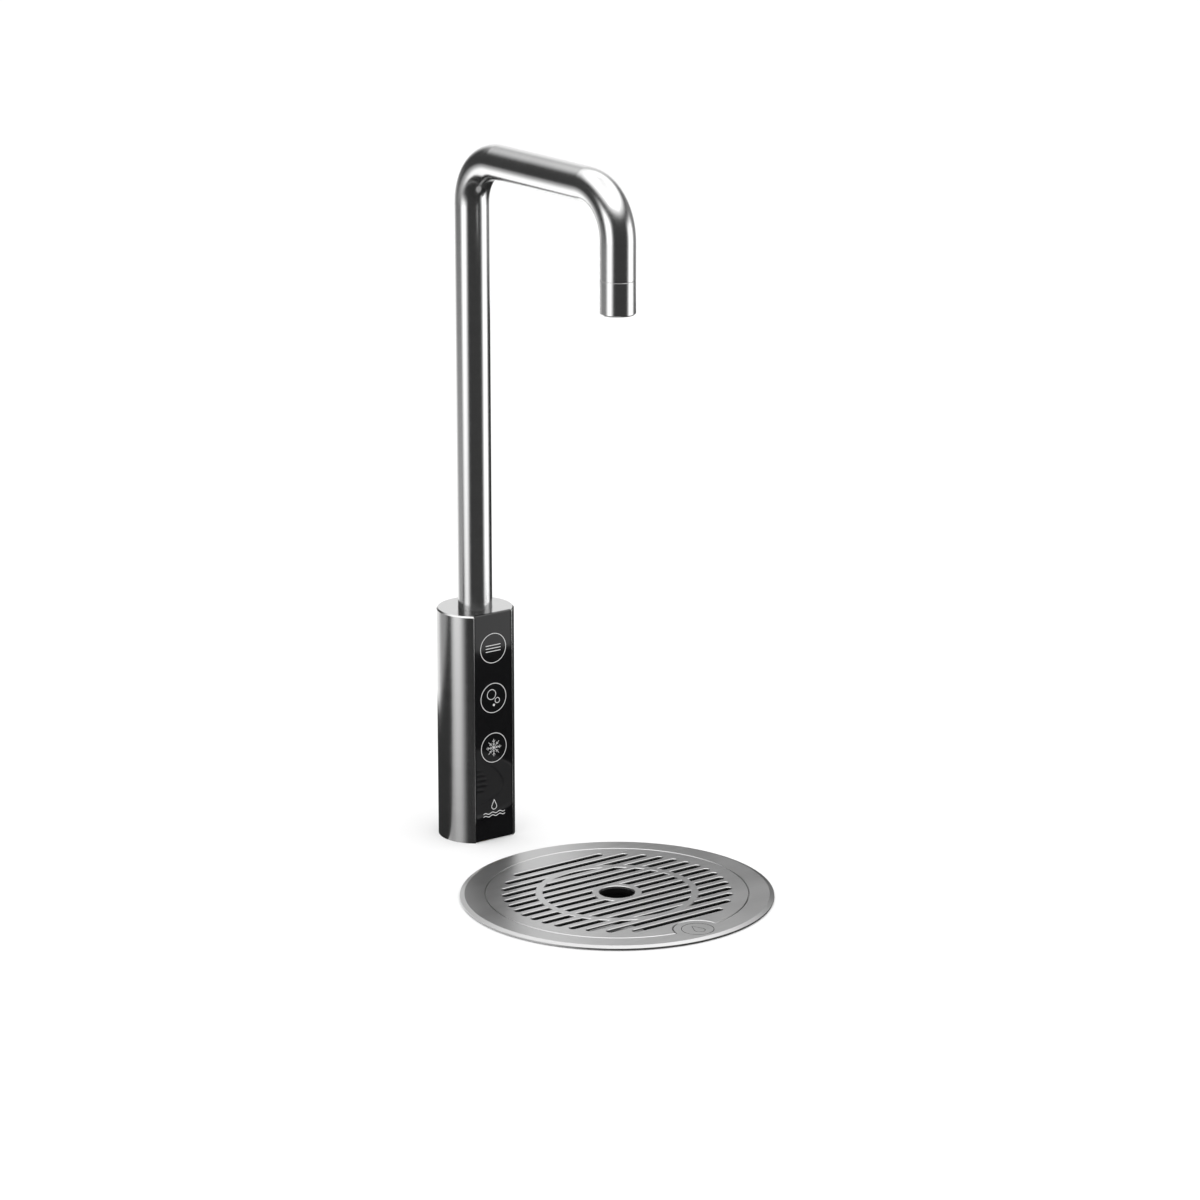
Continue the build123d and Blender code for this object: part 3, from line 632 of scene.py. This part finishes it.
def drop_mark():
    """A plain drop over two waves, low on the glass."""

    def drop(radius, height, count=40):
        """The outline of a drop: a circle, and the two lines that touch it from a point above."""
        touch = math.acos(radius / height)
        points = [(0, height)]
        for i in range(count + 1):
            angle = math.pi / 2 - touch - (2 * math.pi - 2 * touch) * i / count
            points.append((radius * math.cos(angle), radius * math.sin(angle)))
        return points

    def wave(width, swing, line, count=48):
        """The outline of three ripples, from the left along the top and back underneath."""
        top = []
        for i in range(count + 1):
            along = i / count
            top.append(((along - 0.5) * width, swing * math.sin(along * 6 * math.pi)))
        return [(x, z + line / 2) for x, z in top] + [(x, z - line / 2) for x, z in reversed(top)]

    drops, waves = bmesh.new(), bmesh.new()
    printed_face(drops, drop(2.2 * MM, 5.0 * MM), drop(1.75 * MM, 4.0 * MM))
    printed_face(waves, wave(17.0 * MM, 0.5 * MM, 0.5 * MM))
    return [
        (mesh_from("drop", drops), 1, 0.0, 0.0, 22.6 * MM),
        (mesh_from("wave", waves), 2, 0.0, -1.9 * MM, 18.4 * MM),
    ]


marks = [printed_copies(*shape) for shape in drop_mark()]
piece("drop_mark", joined(marks), "print", "dispenser")

# ---------------------------------------------------------------- threaded pieces, where the frame's are plain

SAME = 1e-9  # metres, for two places taken as one
THREAD_SHARP = 32  # degrees between faces, past which an edge stays sharp


def threaded(name, outline, thread, y=0.0, count=72):
    """Turns a closed outline of (radius, z) round an upright axis, with a thread cut in its outside.

    thread is the low end, the high end, the pitch, the depth and the outside radius.
    """
    low, high, pitch, depth, crest = thread
    per_turn = 6
    points = []
    for (r0, z0), (r1, z1) in zip(outline, outline[1:] + outline[:1]):
        points.append((r0, z0, False))
        if abs(r0 - crest) < SAME and abs(r1 - crest) < SAME:
            steps = max(2, round(abs(z1 - z0) / pitch * per_turn))
            points += [(crest, z0 + (z1 - z0) * i / steps, True) for i in range(1, steps)]
    work = bmesh.new()
    columns = []
    for k in range(count):
        turn = 2 * math.pi * k / count
        column = []
        for r, z, cut in points:
            if cut:
                inside = min(1.0, max(0.0, min(z - low, high - z) / pitch))
                phase = (z / pitch - k / count) % 1.0
                groove = (1 - abs(2 * phase - 1)) ** 0.8  # a V, a little rounded
                r -= depth * inside * groove
            column.append(work.verts.new((r * math.cos(turn), y + r * math.sin(turn), z)))
        columns.append(column)
    for a, b in zip(columns, columns[1:] + columns[:1]):
        for i in range(len(points)):
            j = (i + 1) % len(points)
            if (a[i].co - b[i].co).length < SAME and (a[j].co - b[j].co).length < SAME:
                continue
            work.faces.new((a[i], a[j], b[j], b[i]))
    return mesh_from(name, work, THREAD_SHARP)


def heights(node):
    """The lowest and highest of a node, in millimetres."""
    return [corner[2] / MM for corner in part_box(node)]


def metres(points):
    """Points given in millimetres, in metres."""
    return [(r * MM, z * MM) for r, z in points]


def threaded_shank():
    """The hollow shank that goes through the worktop."""
    low, high = heights("mounting_shank")
    outside, bore, edge, thread_top = 15.0, 12.8, 0.8, -1.0
    outline = [
        (bore, low + edge), (bore + edge, low), (outside - edge, low), (outside, low + edge),
        (outside, thread_top), (outside, high), (bore, high),
    ]
    thread = ((low + edge) * MM, thread_top * MM, 1.5 * MM, 0.85 * MM, outside * MM)
    body = threaded("threaded_shank", metres(outline), thread)
    made = piece("threaded_shank", body, "brass", "dispenser")
    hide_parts("mounting_shank")


threaded_shank()


def drain_fitting():
    """The flange, threaded stem and hose spigot under the bowl."""
    low, high = heights("drain_body")
    flange, flange_top, seat = 19.5, 17.5, high - 1.5
    stem, stem_low, edge = 14.0, -52.0, 0.7
    spigot, neck, bore = 10.0, 9.1, 8.0
    cup, cup_floor, cup_step = 11.95, high - 2.7, 0.95
    barbs = []
    for i in range(3):
        z = low + 1.5 + i * 5.0
        barbs += [(neck, z), (spigot, z + 3.2), (spigot, z + 3.8), (neck, z + 4.0)]
    outline = [
        (bore, low), (spigot - 1.2, low), *barbs, (neck, stem_low - 2), (spigot, stem_low),
        (stem - edge, stem_low), (stem, stem_low + edge), (stem, seat),
        (flange, seat), (flange, high - 1.0), (flange_top, high), (cup + 0.55, high), (cup, high - 0.6),
        (cup, cup_floor), (cup - cup_step, cup_floor), (cup - cup_step, cup_floor - 2.0), (bore, cup_floor - 6.0),
    ]
    thread = ((stem_low + edge) * MM, seat * MM, 1.5 * MM, 0.8 * MM, stem * MM)
    body = threaded("drain_fitting", metres(outline), thread, TRAY_Y)
    made = piece("drain_fitting", body, "grey_plastic", "dispenser")
    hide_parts("drain_body")


drain_fitting()


def nozzle_plug():
    """The brass plug in the spout's end, threaded for the nozzle and drilled for the three lines."""
    low, high = heights("nozzle_adapter")
    stem, plug, cup, edge = 9.0, 9.9, 8.2, 0.4
    seat, line_end = low + 10.0, high - 5.0
    cup_top, thread_low = line_end - 1.0, low + 0.5
    outline = [
        (cup, low + edge), (cup + 0.3, low), (stem - edge, low), (stem, thread_low), (stem, seat), (plug, seat),
        (plug, line_end), (0.0, line_end), (0.0, cup_top), (cup, cup_top),
    ]
    thread = (thread_low * MM, seat * MM, 1.0 * MM, 0.55 * MM, stem * MM)
    body = threaded("nozzle_plug", metres(outline), thread, TRAY_Y)
    offset, bore = 3.96 * MM, 3.03 * MM
    holes = [(x * offset, TRAY_Y + y * offset, bore) for x, y in ((-1, -1), (1, -1), (-1, 1))]
    drilled = plate_with_holes(circle(0, TRAY_Y, plug * MM), holes, line_end * MM, high * MM)
    made = piece("nozzle_plug", joined([body, drilled]), "brass", "dispenser")
    made.data.shade_smooth()
    made.data.set_sharp_from_angle(angle=math.radians(THREAD_SHARP))
    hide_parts("nozzle_adapter")


nozzle_plug()

# ---------------------------------------------------------------- camera

AZIMUTH, ELEVATION = math.radians(-36.326), math.radians(15.935)
AIM = Vector((0.0579, -0.0572, 0.1606))
DISTANCE = 2.7587
LENS = 129.0  # millimetres, on a sensor 36 mm wide

level = math.cos(ELEVATION)
back = Vector((math.sin(AZIMUTH) * level, -math.cos(AZIMUTH) * level, math.sin(ELEVATION)))
lens = bpy.data.cameras.new("camera")
lens.lens = LENS
lens.sensor_width = 36.0
lens.clip_start, lens.clip_end = 0.05, 60.0
camera = bpy.data.objects.new("camera", lens)
camera.location = AIM + back * DISTANCE
camera.rotation_mode = "QUATERNION"
camera.rotation_quaternion = back.to_track_quat("Z", "Y")
bpy.context.scene.collection.objects.link(camera)
bpy.context.scene.camera = camera

# ---------------------------------------------------------------- worktop and light


def worktop():
    """A pale worktop with its two cut-outs, so that the tray's bowl and the shank hang below it."""
    far, tap_hole, tray_hole = 8.0, 17.5 * MM, 91.5 * MM
    square = [(-far, -far), (far, -far), (far, far), (-far, far)]
    mesh = plate_with_holes(square, [(0, 0, tap_hole), (0, TRAY_Y, tray_hole)], 0, 0)
    made = bpy.data.objects.new("worktop", mesh)
    bpy.context.scene.collection.objects.link(made)

    def build(shade):
        cloud = shade.noise(shade.place(), 3.0, 2.0)
        return {"Base Color": shade.between(cloud, colour(0.86), colour(0.88)), "Roughness": 0.9 + cloud * 0.05}

    mesh.materials.clear()
    mesh.materials.append(material("pale_worktop", build))
    made.visible_glossy = False


worktop()


def black_card(name, corners):
    """A black card near the piece, which only the polished faces see."""
    mesh = bpy.data.meshes.new(name)
    mesh.from_pydata(corners, [], [tuple(range(len(corners)))])
    made = bpy.data.objects.new(name, mesh)
    bpy.context.scene.collection.objects.link(made)

    def build(shade):
        nap = shade.noise(shade.place(), 900.0, 2.0)
        return {"Base Color": shade.between(nap, colour(0.012), colour(0.02)), "Roughness": 0.9 + nap * 0.1}

    mesh.materials.append(material(name, build))
    for sight in ("visible_camera", "visible_diffuse", "visible_shadow", "visible_transmission"):
        setattr(made, sight, False)


def laid(points):
    """Corners of a card that lies just under the worktop."""
    return [(x, y, -2.0 * MM) for x, y in points]


black_card("black_card_front", laid([(-0.02, -0.381), (-0.02, -0.025), (0.44, -0.025), (0.44, -0.381)]))
black_card("black_card_back", laid([(-0.0255, 0.0), (0.03, 0.02), (0.12, 0.3), (-0.85, 0.3)]))
black_card("black_card_right", [(0.33, 0.33, -0.3), (0.75, -0.1, -0.3), (0.75, -0.1, 0.25), (0.33, 0.33, 0.25)])


def softbox(name, place, aim, width, power):
    """A large soft square lamp."""
    lamp = bpy.data.lights.new(name, "AREA")
    lamp.shape = "SQUARE"
    lamp.size = width
    lamp.energy = power
    made = bpy.data.objects.new(name, lamp)
    made.location = place
    made.rotation_mode = "QUATERNION"
    made.rotation_quaternion = (Vector(aim) - Vector(place)).to_track_quat("-Z", "Y")
    bpy.context.scene.collection.objects.link(made)


# The even light on whatever isn't polished, the dark of the room that the steel mirrors, and that room's soft
# panels. Each panel is its heading, half width and soft edge in degrees, then the sines of its lowest and highest
# elevations and their soft edge, and its strength.
EVEN_LIGHT = 1.17
ROOM = 0.045
PANELS = (
    ((180.0, 17.5, 13.0, -0.285, 0.27, 0.115), 2.3),
    ((-36.5, 18.5, 13.0, -0.9, 0.26, 0.15), 2.1),
    ((55.0, 22.0, 18.0, -0.3, 0.5, 0.15), 1.1),
    ((78.0, 24.0, 16.0, -0.5, -0.1, 0.15), 0.9),
    ((105.0, 50.0, 15.0, -0.95, -0.4, 0.12), 1.1),
    ((8.0, 34.0, 15.0, -0.6, 0.4, 0.2), 0.24),
    ((122.0, 34.0, 14.0, -0.95, -0.2, 0.09), 0.5),
)


def studio_world():
    """Even white light on everything, and a room of soft bright and dark walls for the steel to mirror."""
    world = bpy.data.worlds.new("studio")
    bpy.context.scene.world = world
    world.use_nodes = True
    shade = Shade(world.node_tree)
    heading = shade.node("ShaderNodeTexCoord", None, None, "Generated")
    x, y, z = shade.axes(heading)
    turn = shade.node("ShaderNodeMath", {"operation": "ARCTAN2"}, {0: y, 1: x}) * (180 / math.pi)

    def step(value, low, high):
        """Smoothly from 0 to 1 as the value goes from low to high."""
        values = {"Value": value, "From Min": low, "From Max": high}
        return shade.node("ShaderNodeMapRange", {"interpolation_type": "SMOOTHSTEP"}, values)

    def wall(middle, half, soft, low, high, soft_z):
        """A soft-edged panel round a heading in degrees, between two heights."""
        off = shade.node("ShaderNodeMath", {"operation": "WRAP"}, {0: turn - middle, 1: 180.0, 2: -180.0})
        off = shade.node("ShaderNodeMath", {"operation": "ABSOLUTE"}, {0: off})
        sides = 1.0 - step(off, half - soft, half + soft)
        ends = step(z, low - soft_z, low + soft_z) * (1.0 - step(z, high - soft_z, high + soft_z))
        return sides * ends

    # A bright ring high up, dimmer again overhead.
    room = ROOM + step(z, 0.45, 0.8) * 1.9 - step(z, 0.9, 0.985) * 1.25
    for panel, strength in PANELS:
        room = room + wall(*panel) * strength
    mirrored = shade.node("ShaderNodeBackground", None, {"Color": (1, 1, 1, 1), "Strength": room})
    even = shade.node("ShaderNodeBackground", None, {"Color": (1, 1, 1, 1), "Strength": EVEN_LIGHT})
    glossy = shade.node("ShaderNodeLightPath", None, None, "Is Glossy Ray")
    mixed = shade.node("ShaderNodeMixShader", None, {0: glossy, 1: even, 2: mirrored})
    shade.node("ShaderNodeOutputWorld", None, {"Surface": mixed})


studio_world()
softbox("overhead", (-0.2, -0.5, 2.0), (0, -0.1, 0), 1.8, 8.0)
bpy.context.scene.view_settings.view_transform = "Standard"
